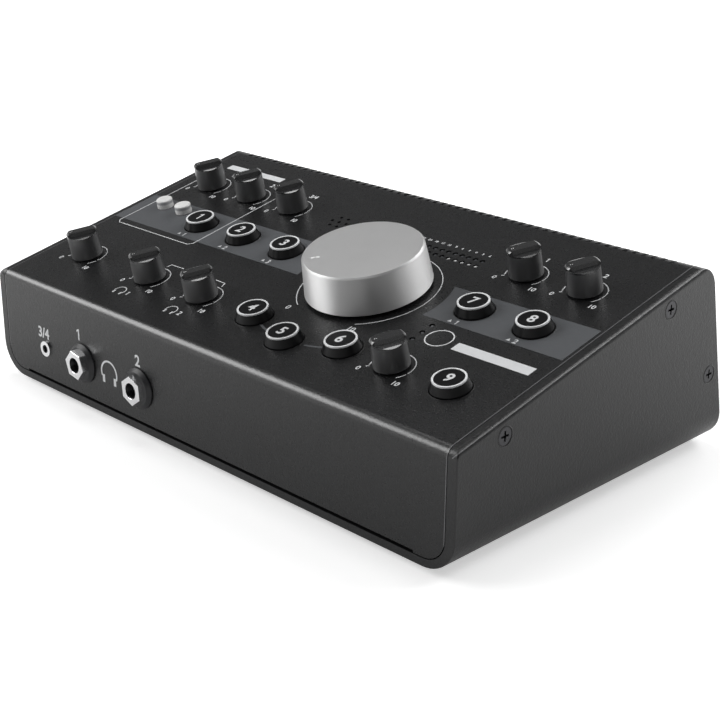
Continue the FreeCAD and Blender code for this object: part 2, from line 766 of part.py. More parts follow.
def make_knobs():
    turn = FreeCAD.Rotation(V(0, 0, 1), small_knob_pointer)
    for name, (x, y) in small_knobs.items():
        here = top_frame.multiply(FreeCAD.Placement(V(x, y, 0), turn))
        save(name + "_knob", [placed(small_knob(), here)])
        shaft = shaft_section(shaft_radius, shaft_flat, small_pot_top, small_knob_gap + small_knob_bore - knob_fit)
        shaft = shaft.fuse(rod(shaft_radius, small_pot_top - pot_shaft_seat, bush_top))
        save(name + "_shaft", [placed(one(shaft), here)])
    here = top_frame.multiply(FreeCAD.Placement(V(0, 0, 0), FreeCAD.Rotation(V(0, 0, 1), volume_pointer)))
    save("volume_knob", [placed(volume_knob(), here)])
    shaft = shaft_section(shaft_radius, shaft_flat, volume_pot_top, volume_knob_gap + volume_knob_bore - knob_fit)
    shaft = shaft.fuse(rod(shaft_radius, volume_pot_top - pot_shaft_seat, bush_top))
    save("volume_shaft", [placed(one(shaft), here)])


# ---- Buttons -----------------------------------------------------------------
def lit_cap():
    """Flared cap with a seat for its light ring, a retaining flange and a stem."""
    seat = ring_outer - ring_width
    flange_top = -cover_sheet - cap_flange_gap
    body = turned([(0, -cap_skirt), (cap_flange_radius, -cap_skirt),
                   (cap_flange_radius, flange_top), (cap_radius, flange_top), (cap_radius, cap_foot_top),
                   (cap_neck_radius, cap_neck), (seat, cap_neck), (seat, cap_top), (0, cap_top)])
    groove = rod(seat + ring_tail_width + ring_seat, cap_neck - ring_tail - ring_seat, cap_neck + eps)
    groove = groove.cut(rod(seat - ring_seat, cap_neck - 2 * ring_tail, cap_top + eps))
    body = body.cut(groove)
    body = body.cut(rod(cap_radius - cap_wall, -cap_skirt - eps, cap_neck - ring_tail - cap_wall))
    return one(body.fuse(rod(cap_stem_radius, -cap_stem, cap_neck - ring_tail)))


def light_ring():
    """Translucent ring with a thin tail that reaches into the cap's groove."""
    inner = ring_outer - ring_width + ring_seat
    low = cap_neck + ring_seat
    return turned([(inner, low - ring_tail), (inner + ring_tail_width - ring_seat, low - ring_tail),
                   (inner + ring_tail_width - ring_seat, low), (ring_outer, low),
                   (ring_outer, low + ring_height), (inner, low + ring_height)])


def push_cap():
    """Small moulded push button with a retaining flange and a stem."""
    flange_top = -cover_sheet - cap_flange_gap
    body = turned([(0, -push_skirt), (push_flange_radius, -push_skirt), (push_flange_radius, flange_top),
                   (push_radius, flange_top), (push_radius, 0), (push_top_radius, push_top), (0, push_top)],
                  [0, 0, 0, 0, 0, push_edge, 0])
    return one(body.fuse(rod(cap_stem_radius, -cap_stem, 0)))


def make_buttons():
    for name, (x, y) in lit_buttons.items():
        here = top_frame.multiply(FreeCAD.Placement(V(x, y, 0), FreeCAD.Rotation()))
        save(name + "_button", [placed(lit_cap(), here)])
        save(name + "_ring", [placed(light_ring(), here)])
    for name, (x, y) in push_buttons.items():
        here = top_frame.multiply(FreeCAD.Placement(V(x, y, 0), FreeCAD.Rotation()))
        save(name + "_button", [placed(push_cap(), here)])
    low = -cover_sheet - power_body_gap / 2
    key = rounded_bar(power_x, usb_drop, power_width / 2, power_corner, low, power_out)
    stem_end = -cover_sheet - power_body_gap - power_stem / 2
    key = key.fuse(rod(power_stem_radius, stem_end, low + eps, power_x, usb_drop))
    save("power_button", [placed(one(key), rear_frame)])


# ---- Indicators and microphone -----------------------------------------------
def make_leds():
    lamps = []
    for x, y in leds:
        lamp = turned([(0, -board_depth), (led_radius, -board_depth), (led_radius, led_top), (0, led_top)],
                      [0, 0, led_radius / 2, 0])
        lamp.translate(V(x, y, 0))
        lamps.append(placed(lamp, top_frame))
    save("indicator_leds", lamps)


def make_microphone():
    low = mic_top - mic_height
    body = rod(mic_radius, low, mic_top, mic_middle, mic_row)
    for side in (-1, 1):
        body = body.fuse(rod(mic_lead_radius, -board_depth, low, mic_middle + side * mic_lead_spread, mic_row))
    save("mic_capsule", [placed(one(body), top_frame)])


# ---- Quarter-inch sockets, nuts and collars ----------------------------------
def quarter_inch_socket(x, y, bush_out):
    """Closed socket body behind the sheet with a threaded bush through it."""
    half_x = jack_body_width / 2
    half_y = jack_body_height / 2
    body = block(x - half_x, x + half_x, y - half_y, y + half_y, -rear_board_depth, -cover_sheet)
    body = body.fuse(rod(jack_bush_radius, -cover_sheet, bush_out, x, y))
    bore_end = max(bush_out - jack_bore_length, -rear_board_depth + cover_sheet)
    return one(body.cut(rod(jack_bore_radius, bore_end, bush_out + eps, x, y)))


def make_sockets():
    sockets = []
    nuts = []
    collars = []
    hole = jack_bush_radius + jack_nut_clearance
    for (x, z), turn in zip(front_jacks, jack_nut_turn):
        sockets.append(placed(quarter_inch_socket(x, z, jack_bush_front), front_frame))
        nut = hex_nut(jack_nut_flats, hole, collar_height, collar_height + jack_nut_height,
                      jack_nut_face_radius, turn)
        nut.translate(V(x, z, 0))
        nuts.append(placed(nut, front_frame))
        collar = turned([(hole, 0), (collar_radius, 0), (collar_radius, collar_edge),
                         (collar_top_radius, collar_height), (hole, collar_height)])
        collar.translate(V(x, z, 0))
        collars.append(placed(collar, front_frame))
    for x, drop in rear_jacks:
        sockets.append(placed(quarter_inch_socket(x, drop, rear_bush), rear_frame))
        nut = hex_nut(jack_nut_flats, hole, 0, jack_nut_height, jack_nut_face_radius, 0)
        nut.translate(V(x, drop, 0))
        nuts.append(placed(nut, rear_frame))
    save("jack_sockets", sockets)
    save("jack_nuts", nuts)
    save("jack_collars", collars)
    half = mini_body_width / 2
    x, z = mini_x, mini_height
    body = block(x - half, x + half, z - half, z + half, -rear_board_depth, -cover_sheet)
    body = body.fuse(rod(mini_bush_radius, -cover_sheet, mini_ring_height, x, z))
    body = body.fuse(rod(mini_ring_radius, 0, mini_ring_height, x, z))
    body = body.cut(rod(mini_bore_radius, -mini_bore_length, eps, x, z))
    save("mini_jack", [placed(one(body), front_frame)])


# ---- Other rear sockets ------------------------------------------------------
def make_rear_sockets():
    barrels = []
    for x, drop in combos:
        half_x = combo_plate_width / 2
        half_y = combo_plate_height / 2
        body = block(x - half_x, x + half_x, drop - half_y, drop + half_y, 0, combo_plate_sheet)
        body = body.fuse(rod(combo_barrel_radius, -rear_board_depth, combo_plate_sheet, x, drop))
        groove = rod(combo_groove_outer, -combo_groove_depth, 2 * eps, x, drop)
        groove = groove.cut(rod(combo_groove_inner, -combo_groove_depth - eps, 3 * eps, x, drop))
        body = body.cut(groove)
        body = body.cut(rod(jack_bore_radius, -combo_groove_depth, 2 * eps, x, drop))
        for pin in (90, 210, 330):
            turn = math.radians(pin)
            body = body.cut(rod(combo_pin_radius, -combo_groove_depth, 2 * eps,
                                x + combo_pin_circle * math.cos(turn), drop + combo_pin_circle * math.sin(turn)))
        for side in (-1, 1):
            hole = screw_hole(screw_length)
            hole.translate(V(x + side * combo_screw_x, drop + side * combo_screw_y, combo_plate_sheet))
            body = body.cut(hole)
        barrels.append(placed(one(body), rear_frame))
    save("combo_sockets", barrels)
    half_x = usb_width / 2
    half_y = usb_height / 2
    body = block(usb_x - half_x, usb_x + half_x, usb_drop - half_y, usb_drop + half_y, -rear_board_depth, 0)
    cavity = block(usb_x - half_x + usb_wall, usb_x + half_x - usb_wall, usb_drop - half_y + usb_wall,
                   usb_drop + half_y - usb_wall, -usb_depth, eps)
    tongue = block(usb_x - usb_tongue_width / 2, usb_x + usb_tongue_width / 2, usb_drop - usb_tongue_height / 2,
                   usb_drop + usb_tongue_height / 2, -usb_depth - eps, -eps)
    save("usb_socket", [placed(one(body.cut(cavity.cut(tongue))), rear_frame)])
    half_x = dc_width / 2
    half_y = dc_height / 2
    body = block(dc_x - half_x, dc_x + half_x, usb_drop - half_y, usb_drop + half_y, -rear_board_depth, 0)
    cavity = rod(dc_hole_radius, -dc_depth, eps, dc_x, usb_drop)
    cavity = cavity.cut(rod(dc_pin_radius, -dc_depth - eps, -eps, dc_x, usb_drop))
    save("dc_inlet", [placed(one(body.cut(cavity)), rear_frame)])


os.makedirs("parts", exist_ok=True)
make_base_wrap()
make_top_cover()
make_rear_panel()
make_feet()
make_screws()
make_boards()
make_pots()
make_switches()
make_knobs()
make_buttons()
make_leds()
make_microphone()
make_sockets()
make_rear_sockets()
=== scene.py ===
import math

import bmesh
import bpy
import numpy as np
from mathutils import Matrix, Vector


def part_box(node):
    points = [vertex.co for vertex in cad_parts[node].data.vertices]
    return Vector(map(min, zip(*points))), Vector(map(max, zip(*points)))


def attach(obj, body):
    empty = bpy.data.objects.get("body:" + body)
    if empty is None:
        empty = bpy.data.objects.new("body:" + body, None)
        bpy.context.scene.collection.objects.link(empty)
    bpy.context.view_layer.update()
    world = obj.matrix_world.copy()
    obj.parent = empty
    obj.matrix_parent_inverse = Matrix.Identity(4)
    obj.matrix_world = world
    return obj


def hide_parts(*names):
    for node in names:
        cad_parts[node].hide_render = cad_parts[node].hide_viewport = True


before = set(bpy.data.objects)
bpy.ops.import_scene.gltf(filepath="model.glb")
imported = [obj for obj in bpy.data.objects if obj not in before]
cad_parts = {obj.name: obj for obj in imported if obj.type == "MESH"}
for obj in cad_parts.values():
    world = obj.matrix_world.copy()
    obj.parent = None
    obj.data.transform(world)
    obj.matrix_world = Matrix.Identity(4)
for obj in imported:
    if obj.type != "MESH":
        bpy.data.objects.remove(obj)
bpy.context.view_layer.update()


# ---- Case wrap ---------------------------------------------------------------
# The bottom and both side walls are one folded steel sheet in black powder
# paint.  The paint is baked on, so its skin is slightly pebbled.
class Value:
    """One varying number of a finish; arithmetic on it adds its Math nodes."""

    def __init__(self, finish, socket):
        self.finish = finish
        self.socket = socket

    def __add__(self, other):
        return self.finish.math("ADD", self, other)

    __radd__ = __add__

    def __sub__(self, other):
        return self.finish.math("SUBTRACT", self, other)

    def __rsub__(self, other):
        return self.finish.math("SUBTRACT", other, self)

    def __mul__(self, other):
        return self.finish.math("MULTIPLY", self, other)

    def __gt__(self, other):
        return self.finish.math("GREATER_THAN", self, other)

    def __lt__(self, other):
        return self.finish.math("LESS_THAN", self, other)

    def __abs__(self):
        return self.finish.math("ABSOLUTE", self)


class Finish:
    """A procedural finish: one shader and the nodes that vary it over a piece."""

    def __init__(self, name, constants=None):
        self.material = bpy.data.materials.new(name)
        self.material.use_nodes = True
        self.tree = self.material.node_tree
        self.shader = self.tree.nodes["Principled BSDF"]
        for socket, given in (constants or {}).items():
            self.put(socket, given)

    def feed(self, socket, given):
        """Give a socket a link or a value; a colour is written as three numbers."""
        if isinstance(given, Value):
            self.tree.links.new(given.socket, socket)
        elif socket.type == "RGBA":
            socket.default_value = (*given, 1.0)
        else:
            socket.default_value = given

    def put(self, socket, given):
        self.feed(self.shader.inputs[socket], given)

    def node(self, kind, settings=None, inputs=None, output=0):
        """One node: its settings first, ramp stops among them, then its sockets."""
        made = self.tree.nodes.new(kind)
        for name, setting in (settings or {}).items():
            if name == "stops":
                while len(made.color_ramp.elements) < len(setting):
                    made.color_ramp.elements.new(1.0)
                for stop, (position, tone) in zip(made.color_ramp.elements, setting):
                    stop.position = position
                    stop.color = (tone, tone, tone, 1.0)
            else:
                setattr(made, name, setting)
        for socket, given in (inputs or {}).items():
            self.feed(made.inputs[socket], given)
        return Value(self, made.outputs[output])

    def math(self, operation, *terms):
        return self.node("ShaderNodeMath", {"operation": operation}, dict(enumerate(terms)))

    def mix(self, factor, low, high):
        """Colour that goes from low at factor 0 to high at factor 1."""
        return self.node("ShaderNodeMix", {"data_type": "RGBA"}, {0: factor, 6: low, 7: high}, 2)

    def fade(self, value, low, high):
        """Soft step from 0 where value is low to 1 where it is high."""
        return self.node("ShaderNodeMapRange", {"interpolation_type": "SMOOTHSTEP"},
                         {"Value": value, "From Min": low, "From Max": high})

    def place(self):
        """Place on the piece, in metres."""
        return self.node("ShaderNodeTexCoord", output="Object")

    def paint_light_and_shade(self, mask, tone):
        """Painted light and shade: lay another tone over the base colour where the mask is 1."""
        under = Value(self, self.shader.inputs["Base Color"].links[0].from_socket)
        self.put("Base Color", self.mix(mask, under, tone))

    def across(self, axis):
        """One coordinate of the place, in metres; axis is 0, 1 or 2."""
        return self.node("ShaderNodeSeparateXYZ", None, {0: self.place()}, axis)

    def grain(self, size, detail=2.0):
        """Random grain from 0 to 1, about size millimetres wide."""
        return self.node("ShaderNodeTexNoise", None,
                         {"Vector": self.place(), "Scale": 1000.0 / size, "Detail": detail})

    def relief(self, height, depth):
        """Normal of a surface that height, from 0 to 1, raises by depth millimetres."""
        return self.node("ShaderNodeBump", None, {"Height": height, "Distance": depth * 0.001}, "Normal")


def powder_paint(name, tone, gloss, depth):
    """Baked powder paint: peel about 2 mm and pebble about 0.7 mm wide in the
    normal, the pebble in the roughness too, and a faint mottle in the colour."""
    paint = Finish(name, {"Specular IOR Level": 0.5})
    pebble = paint.grain(0.7)
    peel = paint.grain(2.0)
    dark = tuple(0.85 * part for part in tone)
    light = tuple(1.2 * part for part in tone)
    paint.put("Base Color", paint.mix(paint.grain(9.0), dark, light))
    paint.put("Roughness", gloss + (pebble - 0.5) * 0.25)
    paint.put("Normal", paint.relief(pebble * 0.65 + peel * 0.35, depth))
    return paint


def dress(finish, *names):
    """Give CAD nodes a finish through their own material slots."""
    for name in names:
        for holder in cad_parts[name].material_slots:
            holder.material = finish.material


case_black = (0.0105, 0.0107, 0.0112)
# Tone of the painted highlights along the case's edges.
painted_highlight_tone = (0.16, 0.16, 0.165)
wall_half_width = 0.132
edge_round = 0.0023
edge_drop = 0.0001
crest_highlight_half_width = 0.00028
panel_slope = 13.1
panel_tilt = math.radians(panel_slope)
panel_middle_y = -0.012257
panel_middle_z = 0.062963
panel_level = panel_middle_z * math.cos(panel_tilt) - panel_middle_y * math.sin(panel_tilt)
pebble_depth = 0.14


def height_over(level, finish):
    """Height of the place over a plane parallel to the panel: z cos t - y sin t - level,
    where t is the panel's tilt, in metres."""
    return finish.across(2) * math.cos(panel_tilt) - finish.across(1) * math.sin(panel_tilt) - level


wrap_paint = powder_paint("wrap_powder_paint", case_black, 0.33, pebble_depth)
out_of_flat = abs(wrap_paint.across(0)) - (wall_half_width - edge_round)
under_panel = height_over(panel_level - edge_drop - edge_round, wrap_paint)
# A thin paler line along the top outer edge of each wall is a painted highlight.
crest_highlight = (abs(out_of_flat - under_panel) < crest_highlight_half_width) * (out_of_flat > 0.0) * (under_panel > 0.0)
wrap_paint.paint_light_and_shade(crest_highlight, painted_highlight_tone)
dress(wrap_paint, "base_wrap")


# ---- Cover and rear panel ----------------------------------------------------
# One sheet makes the front face, the sloping control panel and the rear bend;
# a flat panel closes the back.  Both have the same paint as the wrap.  The cover
# is smoother over the front bend, and a paler line along its cut side edges is
# a painted highlight.
panel_half_width = 0.1276
painted_edge_highlight_width = 0.0003
cover_paint = powder_paint("cover_powder_paint", case_black, 0.31, pebble_depth)
# Paler line along the cover's cut side edges: a painted highlight.
cover_paint.paint_light_and_shade(abs(cover_paint.across(0)) > panel_half_width - painted_edge_highlight_width, painted_highlight_tone)
front_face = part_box("top_cover")[0].y
bend_reach = 0.0031
up_bend = height_over(panel_level - bend_reach, cover_paint)
out_of_bend = front_face + bend_reach - cover_paint.across(1)
bend = cover_paint.fade(up_bend, 0.0004, 0.0018) * cover_paint.fade(out_of_bend, 0.0, 0.0008)
cover_paint.put("Coat Weight", bend * 0.85)
cover_paint.put("Coat Roughness", 0.3)
dress(cover_paint, "top_cover")
panel_paint = powder_paint("rear_panel_powder_paint", case_black, 0.33, pebble_depth)
dress(panel_paint, "rear_panel")


# ---- Printing on the control panel -------------------------------------------
# Screen-printed ink, a few hundredths of a millimetre thick: white scale lines,
# ticks and figures, and two wide grey bands behind the rows of round buttons.
front_edge = front_face * 1000.0
front_edge_height = 47.8
panel_length = 145.0
volume_x = 28.5
volume_up_panel = 66.9
case_bottom = 2.3


def up_slope(way):
    """Place in y and z, in mm, that lies so far up the panel from its front edge."""
    return front_edge + way * math.cos(panel_tilt), front_edge_height + way * math.sin(panel_tilt)


sides_of_case = {
    "panel": (panel_slope, (volume_x, *up_slope(volume_up_panel))),
    "front": (90.0, (0.0, front_edge, case_bottom)),
    "rear": (panel_slope - 90.0, (0.0, *up_slope(panel_length))),
}
ink_height = 0.035
ink_sheet = 0.03


def carried(shape, side, x=0.0, y=0.0, turn=0.0):
    """Shape in mm turned about its own Z, moved to (x, y) of a side of the case,
    tilted about X with that side, moved to its origin and made metres."""
    points, faces = shape
    tilt, origin = sides_of_case[side]
    about_z = np.array(Matrix.Rotation(math.radians(turn), 3, "Z"))
    about_x = np.array(Matrix.Rotation(math.radians(tilt), 3, "X"))
    points = points @ about_z.T + np.array([x, y, 0.0])
    return (points @ about_x.T + np.array(origin)) * 0.001, faces


def together(*shapes):
    """Several shapes as one: points one after another, with the faces counted on."""
    faces = []
    start = 0
    for points, corners in shapes:
        faces += (np.asarray(corners) + start).tolist()
        start += len(points)
    return np.concatenate([points for points, _ in shapes]), faces


def piece(name, shape, finish, body, slot, *nodes):
    """Finished object from a shape in metres: doubles merged, faces outward, smooth
    except over edges sharper than 35 degrees.  It rides on body, for those nodes."""
    mesh = bpy.data.meshes.new(name)
    mesh.from_pydata(shape[0], [], shape[1])
    work = bmesh.new()
    work.from_mesh(mesh)
    bmesh.ops.remove_doubles(work, verts=work.verts, dist=1e-6)
    bmesh.ops.dissolve_degenerate(work, edges=work.edges, dist=1e-7)
    bmesh.ops.recalc_face_normals(work, faces=work.faces)
    work.to_mesh(mesh)
    work.free()
    mesh.shade_smooth()
    mesh.set_sharp_from_angle(angle=math.radians(35))
    mesh.materials.append(finish.material)
    made = bpy.data.objects.new(name, mesh)
    bpy.context.scene.collection.objects.link(made)
    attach(made, body)
    if nodes:
        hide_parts(*nodes)
    return made


def as_arrays(curve):
    """Points and triangles of a filled flat curve or text, whose data is then removed."""
    holder = bpy.data.objects.new("outline", curve)
    mesh = bpy.data.meshes.new_from_object(holder)
    mesh.calc_loop_triangles()
    points = np.empty(3 * len(mesh.vertices), dtype=np.float32)
    mesh.vertices.foreach_get("co", points)
    corners = np.empty(3 * len(mesh.loop_triangles), dtype=np.int32)
    mesh.loop_triangles.foreach_get("vertices", corners)
    bpy.data.objects.remove(holder)
    bpy.data.meshes.remove(mesh)
    return points.reshape(-1, 3).astype(float), corners.reshape(-1, 3)


def sheet(outlines, low, high):
    """Flat plate between two heights over closed outlines in mm; an outline inside
    another is a hole."""
    curve = bpy.data.curves.new("outline", "CURVE")
    curve.dimensions = "2D"
    curve.fill_mode = "BOTH"
    curve.extrude = (high - low) / 2
    for outline in outlines:
        line = curve.splines.new("POLY")
        line.points.add(len(outline) - 1)
        flat = np.column_stack([outline, np.zeros(len(outline)), np.ones(len(outline))])
        line.points.foreach_set("co", flat.ravel())
        line.use_cyclic_u = True
    points, faces = as_arrays(curve)
    return points + np.array([0.0, 0.0, (low + high) / 2]), faces


def ink(outlines, height=ink_height):
    """Film of ink over outlines, with its middle at that height in mm."""
    return sheet(outlines, height - ink_sheet / 2, height + ink_sheet / 2)


def figure(words, size, x, y, turn=0.0):
    """Figures of that height in mm, centred on (x, y), as a film of ink; a 9 is a 6
    turned half round."""
    if words == "9":
        return figure("6", size, x, y, turn + 180.0)
    if words == "1":
        points, faces = ink([one_mark(size, 0.0, 0.0)], 0.0)
    else:
        letters = bpy.data.curves.new("figure", "FONT")
        letters.body = words
        letters.size = size / 0.7
        letters.extrude = ink_sheet / 2
        letters.offset = 0.035 * size
        points, faces = as_arrays(letters)
        points -= (points.max(axis=0) + points.min(axis=0)) / 2
    about_z = np.array(Matrix.Rotation(math.radians(turn), 3, "Z"))
    return points @ about_z.T + np.array([x, y, ink_height]), faces


def arc(radius, width, start, end, x=0.0, y=0.0):
    """Outline of a line along an arc: out at radius + width/2, back at radius - width/2."""
    turn = np.radians(np.linspace(start, end, 2 + int(abs(end - start) / 3)))
    ray = np.column_stack([np.cos(turn), np.sin(turn)])
    outline = np.concatenate([ray * (radius + width / 2), ray[::-1] * (radius - width / 2)])
    return outline + np.array([x, y])


def disc(radius, x, y):
    """Outline of a circle."""
    turn = np.linspace(0, 2 * np.pi, 48, endpoint=False)
    return np.column_stack([x + radius * np.cos(turn), y + radius * np.sin(turn)])


def bar(x0, x1, y0, y1):
    """Outline of an upright rectangle."""
    return np.array([(x0, y0), (x1, y0), (x1, y1), (x0, y1)])


def line(points, width):
    """Outline of a mitred line through points: each point moved to either side along
    the bisector of its two normals, by width/2 over the cosine of half the turn."""
    points = np.asarray(points, dtype=float)
    along = np.diff(points, axis=0)
    along /= np.linalg.norm(along, axis=1)[:, None]
    before = np.concatenate([along[:1], along])
    after = np.concatenate([along, along[-1:]])
    normal = np.column_stack([-(before + after)[:, 1], (before + after)[:, 0]])
    normal *= (width / np.sum(normal * normal, axis=1))[:, None]
    return np.concatenate([points + normal, (points - normal)[::-1]])


def one_mark(height, x, y):
    """Outline of a figure 1: an upright stem with a slanting flag."""
    corners = [(-0.02, -0.5), (0.15, -0.5), (0.15, 0.5), (0.01, 0.5),
               (-0.22, 0.36), (-0.22, 0.19), (-0.02, 0.3)]
    return np.array(corners) * height + np.array([x, y])


def headphone(size, x, y):
    """Pictogram in ink: a bow over more than half a circle, with an upright ear pad
    inside each of its ends."""
    bow = arc(0.49 * size, 0.08 * size, -22, 202, x, y)
    pads = [bar(x + (side - 0.21) * 0.36 * size, x + (side + 0.21) * 0.36 * size,
                y - 0.44 * size, y - 0.12 * size)
            for side in (-1, 1)]
    return together(ink([bow]), ink(pads))


def arrow_head(size, x, y):
    """Outline of a small triangle that points to the rear."""
    return np.array([(-0.5, -0.45), (0.5, -0.45), (0.0, 0.45)]) * size + np.array([x, y])


def printing(name, tone, rough):
    """Screen ink: matt, with the weave of the screen about 0.25 mm wide in its
    surface and slightly uneven cover."""
    film = Finish(name, {"Specular IOR Level": 0.4})
    cover = film.grain(0.25)
    thin = tuple(0.88 * part for part in tone)
    film.put("Base Color", film.mix(film.grain(2.5), thin, tone))
    film.put("Roughness", rough + (cover - 0.5) * 0.2)
    film.put("Normal", film.relief(cover, 0.004))
    return film


white_ink = printing("white_screen_ink", (0.80, 0.81, 0.82), 0.55)
grey_ink = printing("grey_screen_ink", (0.098, 0.103, 0.11), 0.5)

small_knobs = {
    "gain_1": (-137.0, 36.5), "gain_2": (-109.6, 36.5), "line_trim": (-82.2, 36.5),
    "direct": (-133.3, -38.5), "phones_1": (-89.3, -38.5), "phones_2": (-55.9, -38.5),
    "talkback": (48.4, -38.5), "trim_a": (48.0, 36.5), "trim_b": (75.4, 36.5),
}
lit_buttons = {
    "source_1": (-108.7, 6.0), "source_2": (-81.3, 6.0), "source_3": (-53.9, 6.0),
    "mono": (-23.9, -38.8), "mute": (0.0, -45.5), "dim": (23.9, -38.8),
    "monitor_a": (48.4, 6.0), "monitor_b": (75.8, 6.0), "cue": (75.9, -38.8),
}
push_buttons = {"phantom": (-141.2, 11.6), "pad": (-128.1, 11.6)}

line_width = 0.4
knob_scale = 8.5
scale = []
for knob_x, knob_y in small_knobs.values():
    scale.append(arc(knob_scale, line_width, -8, 205, knob_x, knob_y))
    scale.append(arc(knob_scale, line_width, -38, -12, knob_x, knob_y))
    scale.append(arc(knob_scale + line_width, 1.3, 208.5, 211.5, knob_x, knob_y))
scale.append(arc(28.5, line_width, -57, 237))
frame_box = [(-149.8, 52.0), (-149.8, -8.2), (-148.0, -10.0), (-99.6, -10.0), (-97.8, -8.2), (-97.8, 52.0)]
scale.append(line(frame_box, line_width))
scale.append(line([(-90.7, -28.5), (-90.2, -26.2), (-82.3, -26.1)], line_width))
scale.append(line([(-61.8, -26.0), (-56.0, -26.2), (-54.9, -28.9)], line_width))
scale.append(bar(-146.7, -109.5, 53.7, 57.6))
scale.append(bar(58.9, 93.7, -19.6, -14.7))
scale.append(disc(5.6, 50.4, -15.8))
scale.append(disc(5.1, 50.4, -15.8))
for button_name in ("source_1", "source_2", "source_3", "monitor_a", "monitor_b"):
    button_x, button_y = lit_buttons[button_name]
    scale.append(arrow_head(1.8, button_x - 3.0, button_y - 10.2))
films = [ink(scale)]
for knob_name in ("phones_1", "phones_2"):
    knob_x, knob_y = small_knobs[knob_name]
    films.append(headphone(5.6, knob_x - 3.0, knob_y - 13.6))
for column, words in enumerate(("6", "3", "0", "3", "6", "9", "12", "15", "18", "24", "30")):
    films.append(figure(words, 1.25, 25.7 - 3.5 * column, 41.9))
for knob_x, knob_y in small_knobs.values():
    films.append(figure("0", 2.3, knob_x - 9.9, knob_y - 7.0))
    films.append(figure("10", 2.3, knob_x + 9.3, knob_y - 8.0))
for words, film_x, film_y in (("1", -137.0, 49.6), ("2", -109.6, 49.6), ("3/4", -82.2, 49.6),
                              ("1", 48.0, 49.6), ("2", 75.4, 49.6), ("1", -87.0, -52.2), ("2", -53.4, -52.2),
                              ("0", -17.5, -27.0), ("10", 17.0, -27.0), ("1", -108.7, -4.2),
                              ("2", -81.3, -4.2), ("3", -53.9, -4.2), ("1", 48.4, -4.2), ("2", 75.8, -4.2)):
    films.append(figure(words, 2.6, film_x, film_y))
piece("panel_print_white", carried(together(*films), "panel"), white_ink, "case", "cover_paint")



def band(side, radius, end, low, high):
    """Outline of a band that ends at x = end and meets the dial of the volume knob in
    x = side sqrt(radius^2 - y^2)."""
    row = np.linspace(low, high, 25)
    return np.concatenate([np.column_stack([side * np.sqrt(radius ** 2 - row ** 2), row]),
                           np.array([(end, high), (end, low)])])


bands = [band(-1, 34.7, -155.9, -6.4, 17.6), band(1, 33.8, 97.6, -6.1, 16.3)]
for name, (button_x, button_y) in lit_buttons.items():
    if button_y > 0:
        bands.append(disc(7.75, button_x, button_y))
for button_x, button_y in push_buttons.values():
    bands.append(disc(4.05, button_x, button_y))
bands.append(arc(45.3, 1.0, 244, 257))
bands.append(arc(45.3, 1.0, 282, 296))
piece("panel_print_grey", carried(ink(bands, 0.015), "panel"), grey_ink, "case", "cover_paint")


# ---- Small knobs ---------------------------------------------------------------
# Nine moulded plastic knobs with a raised pointer bar across the top, pushed
# onto flatted shafts.  Their edges have the small radius of the mould, and two
# white dots sit in the pointer end of the bar.
knob_low = 0.8
knob_radius = 6.8
knob_rim_radius = 6.5
knob_rim = 10.3
knob_shoulder = 10.67
knob_recess = 10.85
knob_top = 12.3
knob_bar = 2.0
knob_bar_foot = 2.6
knob_chamfer_start = 5.5
knob_end_fall = 0.9
knob_end_start = 0.76
knob_end_steps = np.array([0.3, 0.76, 0.82, 0.88, 0.94, 1.0])


def quads(rows, columns, closed):
    """Faces between neighbouring rows and columns of a grid of points."""
    row, column = np.meshgrid(np.arange(rows - 1), np.arange(columns - (not closed)), indexing="ij")
    beside = (column + 1) % columns
    corners = [row * columns + column, row * columns + beside,
               (row + 1) * columns + beside, (row + 1) * columns + column]
    return np.stack(corners, axis=-1).reshape(-1, 4)


def pointer_knob():
    """Top: over the line y = R sin a, x runs between -R cos a and R cos a, and the
    height falls from the bar to its foot, gently out and then over the chamfered
    rim; the ends of the bar fall away with the square of the way past their
    start.  Wall: the same edge carried down to the wider lower radius, and in to
    the middle."""
    places = [knob_bar, knob_bar_foot, knob_chamfer_start, knob_rim_radius]
    crease = np.arcsin(np.array(places[:3]) / knob_rim_radius)
    turn = np.unique(np.concatenate([np.linspace(-np.pi / 2, np.pi / 2, 49), crease, -crease]))
    off_line = np.abs(knob_rim_radius * np.sin(turn))
    height = np.interp(off_line, places, [knob_top, knob_recess, knob_shoulder, knob_rim])
    end_fall = np.interp(off_line, places[:2], [knob_end_fall, 0.0])
    across = np.concatenate([-knob_end_steps[::-1], knob_end_steps])
    past_start = np.clip((np.abs(across) - knob_end_start) / (1 - knob_end_start), 0, 1)
    top = np.stack([np.outer(knob_rim_radius * np.cos(turn), across),
                    np.outer(knob_rim_radius * np.sin(turn), np.ones(len(across))),
                    height[:, None] - np.outer(end_fall, past_start ** 2)], axis=-1).reshape(-1, 3)
    around = np.concatenate([turn, np.pi - turn[::-1]])
    level = np.concatenate([height - end_fall, (height - end_fall)[::-1]])
    rings = []
    for radius, drop in ((knob_rim_radius, level), (knob_rim_radius, knob_rim - 0.2 + 0 * level),
                         (knob_radius, knob_low + 0 * level), (0.0, knob_low + 0 * level)):
        rings.append(np.column_stack([radius * np.cos(around), radius * np.sin(around), drop]))
    wall = np.concatenate(rings)
    return together((top, quads(len(turn), len(across), False)), (wall, quads(4, len(around), True)))


def moulded(name, tone, rough, size, depth, constants=None):
    """Moulded plastic: fine spark texture in the normal, its gloss a little uneven,
    and a cloud of slightly greyer resin."""
    plastic = Finish(name, {"Specular IOR Level": 0.45, **(constants or {})})
    spark = plastic.grain(size)
    pale = tuple(1.25 * part for part in tone)
    plastic.put("Base Color", plastic.mix(plastic.grain(6.0), tone, pale))
    plastic.put("Roughness", rough + (plastic.grain(3.0) - 0.5) * 0.08 + (spark - 0.5) * 0.03)
    plastic.put("Normal", plastic.relief(spark, depth))
    return plastic


